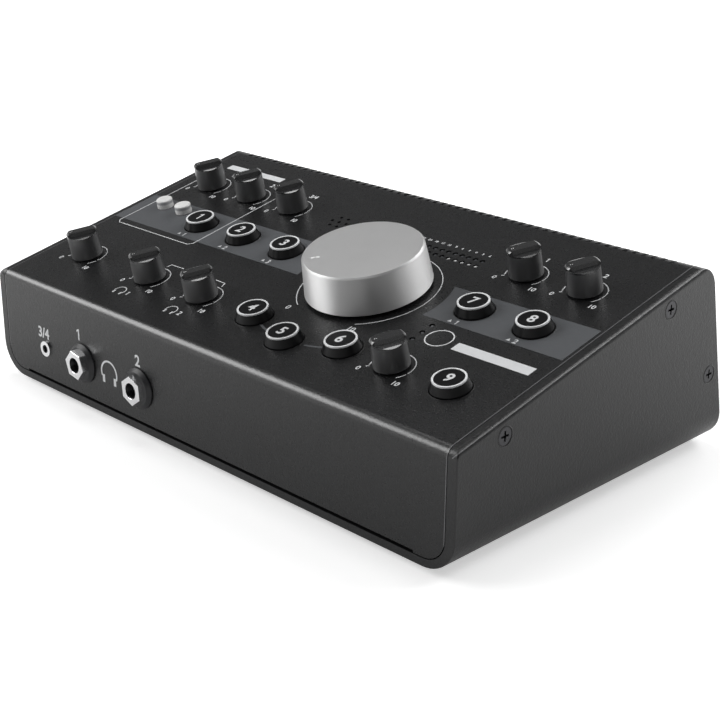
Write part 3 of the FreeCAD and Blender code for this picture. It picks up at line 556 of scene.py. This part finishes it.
def softened(made, width):
    """Round the edges of a piece over 30 degrees by width in mm."""
    edge = made.modifiers.new("edges", "BEVEL")
    edge.width = width * 0.001
    edge.segments = 3
    edge.limit_method = "ANGLE"
    edge.angle_limit = math.radians(30)
    edge.harden_normals = True


knob_gloss = 0.26
pointer_turn = 240.0
knob_plastic = moulded("knob_black_plastic", (0.013, 0.0133, 0.014), knob_gloss, 0.5, 0.001,
                       {"Specular IOR Level": 1.0, "Coat Weight": 0.5, "Coat Roughness": 0.16})
# The wall under the rim is rougher, and painted paler than the top as a painted sheen.
skirt = 1.0 - knob_plastic.fade(height_over(panel_level, knob_plastic), 0.0099, 0.0103)
knob_plastic.paint_light_and_shade(skirt, (0.03, 0.0305, 0.032))
knob_plastic.put("Roughness", knob_gloss + skirt * 0.16)
dot_white = moulded("dot_white_plastic", (0.62, 0.62, 0.62), 0.4, 0.3, 0.003)
turned_metal = Finish("turned_steel", {"Metallic": 1.0})
lathe_line = turned_metal.grain(0.2)
turned_metal.put("Base Color", turned_metal.mix(lathe_line, (0.42, 0.42, 0.41), (0.56, 0.56, 0.55)))
turned_metal.put("Roughness", 0.3 + lathe_line * 0.15)
turned_metal.put("Normal", turned_metal.relief(lathe_line, 0.004))
for name, (knob_x, knob_y) in small_knobs.items():
    control = name + "_control"
    made = piece(name + "_knob_moulding", carried(pointer_knob(), "panel", knob_x, knob_y, pointer_turn),
                 knob_plastic, control, "knob_plastic", name + "_knob")
    softened(made, 0.25)
    dots = ink([disc(0.22, 3.9, 0.0), disc(0.22, 4.6, 0.0)], knob_top)
    piece(name + "_knob_dots", carried(dots, "panel", knob_x, knob_y, pointer_turn), dot_white,
          control, "milky_plastic")
    dress(turned_metal, name + "_shaft")


# ---- Volume knob ---------------------------------------------------------------
# Turned aluminium cup, blasted and anodised in its natural colour, with a bright
# chamfer cut after the blasting.  Two short strokes of white paint in the top
# show where it points.
def rounded(corners, radii, steps=5, guard=0.03):
    """Profile whose inner corner i becomes an arc of radii[i] between its tangent
    points, worked out for all corners at once, with a near point on either side
    of each arc that keeps the flats flat."""
    corners = np.asarray(corners, dtype=float)
    here = corners[1:-1]
    back = corners[:-2] - here
    on = corners[2:] - here
    back /= np.linalg.norm(back, axis=1)[:, None]
    on /= np.linalg.norm(on, axis=1)[:, None]
    radius = np.asarray(radii, dtype=float)[:, None]
    half = np.arccos(np.sum(back * on, axis=1))[:, None] / 2
    reach = radius / np.tan(half)
    middle = (back + on) / np.linalg.norm(back + on, axis=1)[:, None]
    centre = here + middle * radius / np.sin(half)
    first = here + back * reach - centre
    last = here + on * reach - centre
    bend = np.pi - 2 * half
    part = np.linspace(0, 1, steps)[None, :, None]
    sweep = (first[:, None] * np.sin((1 - part) * bend[:, None])
             + last[:, None] * np.sin(part * bend[:, None])) / np.sin(bend[:, None])
    before = (here + back * (reach + guard))[:, None]
    after = (here + on * (reach + guard))[:, None]
    arcs = np.concatenate([before, centre[:, None] + sweep, after], axis=1).reshape(-1, 2)
    return np.concatenate([corners[:1], arcs, corners[-1:]])


def turned(profile, sides=96):
    """Surface turned about Z: x = r cos a, y = r sin a, z = height."""
    turn = np.linspace(0, 2 * np.pi, sides, endpoint=False)
    radius, height = np.asarray(profile).T
    points = np.stack([np.outer(radius, np.cos(turn)), np.outer(radius, np.sin(turn)),
                       np.outer(height, np.ones(sides))], axis=-1)
    return points.reshape(-1, 3), quads(len(radius), sides, True)


volume_top = 16.6
volume_side_top = 0.0163
volume_profile = rounded(
    [(0, volume_top), (23.2, volume_top), (23.83, 15.92), (25.2, 1.3), (21.25, 1.3), (21.25, 13.4),
     (6.5, 13.4), (6.5, 1.3), (3.03, 1.3), (3.03, 13.3), (0, 13.3)],
    [0.12, 0.12, 0.3, 0.2, 0.3, 0.3, 0.2, 0.2, 0.1])
blasted = Finish("blasted_aluminium", {"Metallic": 1.0})
turned_side = Finish("turned_aluminium", {"Metallic": 1.0, "Anisotropic": 0.9, "Anisotropic Rotation": 0.25})
for metal, gloss, tone in ((blasted, 0.42, 0.82), (turned_side, 0.62, 0.75)):
    bead = metal.grain(0.3)
    sheen = metal.grain(14.0)
    metal.put("Base Color", metal.mix(sheen, (tone, tone, tone), (tone + 0.06, tone + 0.06, tone + 0.06)))
    metal.put("Roughness", gloss + (bead - 0.5) * 0.2)
    metal.put("Normal", metal.relief(bead, 0.01))
cup = piece("volume_knob_cup", carried(turned(volume_profile, 160), "panel"), blasted, "volume_control",
            "knob_aluminium", "volume_knob")
cup.data.materials.append(turned_side.material)
middles = np.empty(3 * len(cup.data.polygons), dtype=np.float32)
cup.data.polygons.foreach_get("center", middles)
middles = middles.reshape(-1, 3)
level = middles[:, 2] * math.cos(panel_tilt) - middles[:, 1] * math.sin(panel_tilt) - panel_level
cup.data.polygons.foreach_set("material_index", (level < volume_side_top).astype(np.int32))
mark_paint = printing("knob_mark_paint", (0.97, 0.97, 0.97), 0.45)
marks = ink([bar(16.6, 18.0, -0.7, 0.7), bar(18.6, 20.0, -0.7, 0.7)], volume_top + 0.02)
piece("volume_knob_marks", carried(marks, "panel", turn=229.5), mark_paint, "volume_control",
      "milky_plastic")
dress(turned_metal, "volume_shaft")


# ---- Round lit buttons -----------------------------------------------------------
# Black moulded caps with a flared foot, each with a translucent light ring
# pressed into its rim and a printed figure on top.  The paint stands up in a
# small lip round each hole.
cap_top = 4.1
cap_profile = rounded(
    [(0, cap_top), (5.42, cap_top), (5.42, 3.56), (6.25, 3.56), (7.45, 0.5), (7.45, -1.8), (8.5, -1.8),
     (8.5, -3.2), (6.35, -3.2), (6.35, 0.85), (1.75, 0.85), (1.75, -9.2), (0, -9.2)],
    [0.15, 0.05, 0.1, 0.2, 0.1, 0.1, 0.1, 0.1, 0.2, 0.2, 0.1])
ring_profile = rounded(
    [(5.45, 3.6), (5.45, 4.22), (6.2, 4.22), (6.2, 3.57), (5.75, 3.57), (5.75, 1.97), (5.45, 1.97),
     (5.45, 3.6)],
    [0.15, 0.2, 0.03, 0.05, 0.05, 0.05])
cap_plastic = moulded("cap_black_plastic", (0.004, 0.004, 0.0045), 0.3, 0.35, 0.003,
                      {"Specular IOR Level": 0.22})
ring_plastic = moulded("ring_milky_plastic", (0.78, 0.79, 0.8), 0.35, 0.5, 0.003)
for number, (name, (cap_x, cap_y)) in enumerate(lit_buttons.items()):
    key = name + "_key"
    piece(name + "_cap_moulding", carried(turned(cap_profile, 72), "panel", cap_x, cap_y), cap_plastic, key,
          "cap_plastic", name + "_button")
    piece(name + "_light_ring", carried(turned(ring_profile, 96), "panel", cap_x, cap_y), ring_plastic, key,
          "ring_lens", name + "_ring")
    points, faces = figure(str(number + 1), 4.6, 0.0, 0.0)
    mark = (points + np.array([0.0, 0.0, cap_top]), faces)
    piece(name + "_cap_figure", carried(mark, "panel", cap_x, cap_y), white_ink, key, "cap_plastic")
lip_profile = rounded([(7.75, -0.1), (7.75, 0.1), (8.0, 0.1), (8.12, -0.1), (7.75, -0.1)],
                      [0.03, 0.06, 0.01], 3, 0.01)
lips = [carried(turned(lip_profile), "panel", cap_x, cap_y) for cap_x, cap_y in lit_buttons.values()]
piece("cap_hole_lips", together(*lips), cover_paint, "case", "cover_paint")


# ---- Small push buttons ----------------------------------------------------------
# Two little moulded keys in milky plastic, dished on top for the finger, with
# a grey band of painted shade round the waist.
push_profile = rounded(
    [(0, 3.35), (2.2, 3.42), (3.65, 3.6), (3.8, 0), (3.8, -1.8), (4.9, -1.8), (4.9, -2.9), (1.75, -2.9),
     (1.75, -9.2), (0, -9.2)],
    [1.0, 0.5, 0.5, 0.1, 0.1, 0.1, 0.2, 0.1])
milky_plastic = moulded("push_milky_plastic", (0.74, 0.74, 0.73), 0.25, 0.5, 0.004)
up_push = height_over(panel_level, milky_plastic)
# Grey band round the waist: painted shade.
painted_waist_shade = milky_plastic.fade(up_push, 0.0014, 0.0022) * (1.0 - milky_plastic.fade(up_push, 0.0026, 0.0033))
milky_plastic.paint_light_and_shade(painted_waist_shade * 0.7, (0.3, 0.31, 0.33))
for name, (cap_x, cap_y) in push_buttons.items():
    piece(name + "_push_moulding", carried(turned(push_profile, 64), "panel", cap_x, cap_y), milky_plastic,
          name + "_key", "milky_plastic", name + "_button")


# ---- Indicators and microphone -----------------------------------------------------
# Clear-bodied lamps stand just under their holes, two rows for the level meter
# and three for the status lamps; five in the meter are painted pale, a painted
# highlight of the glints in their lenses.  The microphone is a small steel can.
lamp_plastic = moulded("lamp_clear_plastic", (0.06, 0.062, 0.066), 0.12, 0.6, 0.002, {"Coat Weight": 0.5})
lower_row_from = 0.0300
lower_row_to = 0.0351
painted_glint_from = 0.03845
past_volume = (lamp_plastic.across(1) * math.cos(panel_tilt) + lamp_plastic.across(2) * math.sin(panel_tilt)
               - (front_face * math.cos(panel_tilt) + volume_up_panel * 0.001
                  + front_edge_height * 0.001 * math.sin(panel_tilt)))
lower_row = (past_volume > lower_row_from) * (past_volume < lower_row_to)
# Five lamps painted pale: a painted highlight of their glints.
lamp_plastic.paint_light_and_shade(lower_row * (lamp_plastic.across(0) > painted_glint_from), (0.75, 0.75, 0.75))
dress(lamp_plastic, "indicator_leds")
dress(turned_metal, "mic_capsule")


# ---- Headphone sockets in the front face ---------------------------------------------
# Each quarter-inch socket has a black cone collar against the face and a
# chromed hexagon nut on its threaded bush, made with the nuts at the rear; a
# small ring holds the 3.5 mm one.
collar_profile = rounded(
    [(4.55, 0.5), (4.55, 2.0), (6.95, 2.0), (8.4, 0.6), (8.4, 0.0), (4.55, 0.0), (4.55, 0.5)],
    [0.1, 0.25, 0.25, 0.05, 0.05])
collar_plastic = moulded("collar_black_plastic", (0.018, 0.018, 0.02), 0.42, 0.4, 0.004)
socket_plastic = moulded("socket_black_plastic", (0.012, 0.012, 0.013), 0.4, 0.3, 0.004)
jack_places = [(-72.0, 18.8), (-33.8, 18.8)]
collars = [carried(turned(collar_profile, 96), "front", jack_x, jack_z) for jack_x, jack_z in jack_places]
piece("front_collars", together(*collars), collar_plastic, "case", "black_plastic", "jack_collars")
dress(socket_plastic, "jack_sockets", "combo_sockets", "dc_inlet")

chrome = Finish("nut_chrome_plate", {"Metallic": 1.0})
ripple = chrome.grain(3.0)
chrome.put("Base Color", chrome.mix(ripple, (0.84, 0.84, 0.85), (0.92, 0.92, 0.93)))
chrome.put("Roughness", 0.14 + ripple * 0.12)
chrome.put("Normal", chrome.relief(ripple, 0.01))
dress(chrome, "mini_jack")

nut_edge = 0.12
nut_bore = 4.55
bush_bore = 3.22
front_flat = 5.35
front_foot = 2.0
front_top = 4.58
rear_flat = 6.0
rear_top = 2.2
front_nut = [(0, nut_bore, front_foot), (0, nut_bore, 4.15), (0, bush_bore, 4.15),
             (0, bush_bore, front_top - nut_edge), (0, bush_bore + nut_edge, front_top),
             (front_flat, -nut_edge, front_top), (front_flat, 0, front_top - nut_edge),
             (front_flat, 0, front_foot), (0, nut_bore, front_foot)]
rear_nut = [(0, nut_bore, 0.0), (0, nut_bore, rear_top - nut_edge), (0, nut_bore + nut_edge, rear_top),
            (rear_flat, -nut_edge, rear_top), (rear_flat, 0, rear_top - nut_edge), (rear_flat, 0, 0.0),
            (0, nut_bore, 0.0)]
line_jacks = [(22.0 - 27.0 * column, drop) for drop in (29.0, 54.0) for column in range(3)]


def hexagon_nut(rows):
    """Rings of a nut; a row (flat, extra, height) lies at flat / cos b + extra from
    the axis, where b runs from -30 to 30 degrees over each side."""
    turn = np.linspace(0, 2 * np.pi, 72, endpoint=False)
    flat, extra, height = np.array(rows).T
    reach = np.outer(flat, 1 / np.cos(np.mod(turn, np.pi / 3) - np.pi / 6)) + extra[:, None]
    rings = np.stack([reach * np.cos(turn), reach * np.sin(turn), np.outer(height, np.ones(72))], axis=-1)
    return rings.reshape(-1, 3), quads(len(rows), 72, True)


nuts = [carried(hexagon_nut(front_nut), "front", jack_x, jack_z, nut_turn)
        for (jack_x, jack_z), nut_turn in zip(jack_places, (-10.0, -24.0))]
nuts += [carried(hexagon_nut(rear_nut), "rear", jack_x, drop) for jack_x, drop in line_jacks]
piece("socket_nuts", together(*nuts), chrome, "case", "nut_chrome", "jack_nuts")
black_zinc = Finish("black_zinc_plate", {"Metallic": 1.0})
crystal = black_zinc.grain(0.5)
black_zinc.put("Base Color", black_zinc.mix(crystal, (0.055, 0.055, 0.058), (0.10, 0.10, 0.105)))
black_zinc.put("Roughness", 0.32 + crystal * 0.14)
black_zinc.put("Normal", black_zinc.relief(crystal, 0.006))
thread_rise = np.arange(4.0, -9.0, -0.4)
thread_reach = np.where(np.arange(len(thread_rise)) % 2, 3.0, 3.16)
thread_profile = np.concatenate([[(3.19, 4.0)], np.column_stack([thread_reach, thread_rise]),
                                 [(3.19, thread_rise[-1]), (3.19, 4.0)]])
bush_threads = [carried(turned(thread_profile, 72), "front", jack_x, jack_z)
                for jack_x, jack_z in jack_places]
piece("front_bush_threads", together(*bush_threads), black_zinc, "case", "socket_plastic")

front_marks = [figure("1", 4.8, -74.3, 30.6), figure("2", 4.6, -34.4, 30.2),
               figure("3/4", 4.5, -100.1, 24.6), headphone(10.4, -54.0, 19.2)]
piece("front_print_white", carried(together(*front_marks), "front"), white_ink, "case", "cover_paint")


# ---- Sockets in the rear panel ----------------------------------------------------------
# Six line sockets with chromed nuts, two combination sockets, USB, DC inlet and
# the power key.  Figures in white ink number them; a ring and a stroke mark the key.
rear_marks = [figure(str(number + 1), 2.8, jack_x, drop - 9.4, 180.0)
              for number, (jack_x, drop) in enumerate(line_jacks)]
for number, combo_x in enumerate((-67.0, -101.0)):
    rear_marks.append(figure(str(number + 1), 3.4, combo_x, 22.2, 180.0))
rear_marks.append(ink([arc(1.5, 0.35, 0, 357, 105.0, 32.6), bar(101.6, 102.0, 31.1, 34.1)]))
piece("rear_print_white", carried(together(*rear_marks), "rear"), white_ink, "case", "cover_paint")


# ---- Screws and feet ------------------------------------------------------------------
# Countersunk cross-head screws in black zinc hold the sides and the sockets.  Round
# each side screw a thin black ring is painted shade in the gap, and the paint stands
# up a little.  Four rubber feet are pushed into the bottom.
dress(black_zinc, "case_screws")
screw_places = [(-54.22, 46.52), (37.33, 67.83), (67.67, 34.54)]
gap_shade_profile = [(3.2, -0.02), (3.55, -0.02), (3.55, 0.03), (3.2, 0.03), (3.2, -0.02)]
rim_profile = [(3.45, -0.02), (3.5, 0.08), (3.58, 0.12), (3.68, 0.1), (3.85, -0.02), (3.45, -0.02)]


def on_both_sides(profile):
    """Ring of that profile round each side screw: its axis lies along X."""
    points, faces = turned(profile, 48)
    return together(*[(np.column_stack([side * (wall_half_width + 0.001 * points[:, 2]),
                                        0.001 * (y + points[:, 0]), 0.001 * (z + points[:, 1])]), faces)
                      for side in (-1, 1) for y, z in screw_places])


# Thin black rings in the gaps round the side screws: painted shade.
piece("screw_gap_shade_rings", on_both_sides(gap_shade_profile), cap_plastic, "case", "screw_steel")
piece("countersink_rims", on_both_sides(rim_profile), wrap_paint, "case", "case_paint")
rubber = moulded("foot_rubber", (0.02, 0.02, 0.02), 0.7, 0.4, 0.02)
dress(rubber, "rubber_feet")


# ---- Boards and their parts -------------------------------------------------------------
# Green lacquered boards carry the controls' metal cans, the switches and the
# sockets on brass standoffs.
board_green = Finish("board_green_lacquer", {"Specular IOR Level": 0.5})
weave = board_green.grain(0.9)
track = board_green.node("ShaderNodeTexBrick", {"offset": 0.5},
                         {"Vector": board_green.place(), "Scale": 180.0, "Mortar Size": 0.03,
                          "Color1": (0.0, 0.0, 0.0), "Color2": (0.0, 0.0, 0.0), "Mortar": (1.0, 1.0, 1.0)})
board_green.put("Base Color", board_green.mix(track, (0.012, 0.055, 0.025), (0.03, 0.11, 0.05)))
board_green.put("Roughness", 0.3 + weave * 0.15)
board_green.put("Normal", board_green.relief(weave, 0.01))
dress(board_green, "main_board", "jack_boards")
dress(turned_metal, "pot_bodies", "board_standoffs")
dress(socket_plastic, "switch_bodies", "power_button")
dress(chrome, "usb_socket")


# ---- Floor, light and camera ---------------------------------------------------------------
# A wide white table under four large soft lamps: one overhead and one to the
# left in front, one to the right and one wide one behind, with a pale wall all
# round at the horizon.  The camera looks down from the right in front.
floor_half = 6.0
corners = np.array([(-1, -1, 0), (1, -1, 0), (1, 1, 0), (-1, 1, 0)]) * floor_half
floor_mesh = bpy.data.meshes.new("floor")
floor_mesh.from_pydata(corners, [], [(0, 1, 2, 3)])
floor = bpy.data.objects.new("floor", floor_mesh)
bpy.context.scene.collection.objects.link(floor)
table = Finish("table_white", {"Base Color": (0.86, 0.86, 0.86), "Roughness": 0.9,
                               "Specular IOR Level": 0.1})
camera_ray = table.node("ShaderNodeLightPath", output="Is Camera Ray")
mirrored = (table.node("ShaderNodeLightPath", output="Is Glossy Ray")
            + table.node("ShaderNodeLightPath", output="Is Transmission Ray"))
distance = table.node("ShaderNodeVectorMath", {"operation": "LENGTH"}, {0: table.place()}, "Value")
far = table.node("ShaderNodeMapRange", None, {"Value": distance, "From Min": 0.12, "From Max": 0.5})
table.put("Emission Color", (1.0, 1.0, 1.0))
table.put("Emission Strength", camera_ray * (0.5 + far * 0.45) + mirrored * (0.05 + far * 0.6))
floor_mesh.materials.append(table.material)


class Surround(Finish):
    """The world's own shader: pale at the horizon and darker overhead, and white
    where it is seen past the edge of the table."""

    def __init__(self):
        world = bpy.data.worlds.new("studio")
        world.use_nodes = True
        bpy.context.scene.world = world
        self.tree = world.node_tree
        self.shader = self.tree.nodes["Background"]
        way = self.node("ShaderNodeTexCoord", output="Generated")
        height = self.node("ShaderNodeSeparateXYZ", None, {0: way}, 2)
        nearer = self.node("ShaderNodeVectorMath", {"operation": "DOT_PRODUCT"},
                           {0: way, 1: (0.7, -0.7, 0.0)}, "Value")
        level = self.node("ShaderNodeValToRGB",
                          {"stops": [(0.0, 1.0), (0.16, 0.8), (0.35, 0.1), (1.0, 0.15)]}, {"Fac": height})
        seen = self.node("ShaderNodeLightPath", output="Is Camera Ray")
        self.put("Color", self.mix(seen, level, (1.0, 1.0, 1.0)))
        self.put("Strength", seen + (1.0 - seen) * (0.8 - nearer * 0.45))


Surround()


def soft_lamp(name, way, distance, width, height, radiance):
    """Rectangular lamp that looks at the middle of the case from a direction.
    Its power is radiance times pi times its area."""
    lamp = bpy.data.lights.new(name, "AREA")
    lamp.shape = "RECTANGLE"
    lamp.size = width
    lamp.size_y = height
    lamp.energy = radiance * math.pi * width * height
    holder = bpy.data.objects.new(name, lamp)
    holder.location = Vector(way).normalized() * distance + Vector((0.0, 0.0, 0.04))
    holder.rotation_euler = Vector(way).to_track_quat("Z", "Y").to_euler()
    bpy.context.scene.collection.objects.link(holder)


soft_lamp("lamp_overhead", (-0.32, 0.09, 1.26), 1.3, 0.36, 0.6, 5.0)
soft_lamp("lamp_left", (-1.0, -0.76, 0.8), 1.3, 1.1, 0.55, 5.0)
soft_lamp("lamp_right", (0.5, 0.45, 0.77), 1.3, 0.3, 0.5, 5.0)
soft_lamp("lamp_back", (0.25, 1.0, 0.75), 1.6, 1.4, 0.5, 5.5)

camera_data = bpy.data.cameras.new("camera")
camera_data.sensor_width = 36.0
camera_data.lens = 72.417
camera_data.clip_start = 0.01
camera = bpy.data.objects.new("camera", camera_data)
right = Vector((0.7064534, 0.7077205, 0.0074415))
down = Vector((0.2598361, -0.2495622, -0.9328472))
forward = Vector((-0.6583379, 0.6609466, -0.3601954))
view = Matrix((right, -down, -forward)).transposed().to_4x4()
view.translation = (0.40033, -0.39035, 0.23765)
camera.matrix_world = view
bpy.context.scene.collection.objects.link(camera)
bpy.context.scene.camera = camera
bpy.context.scene.view_settings.view_transform = "Standard"
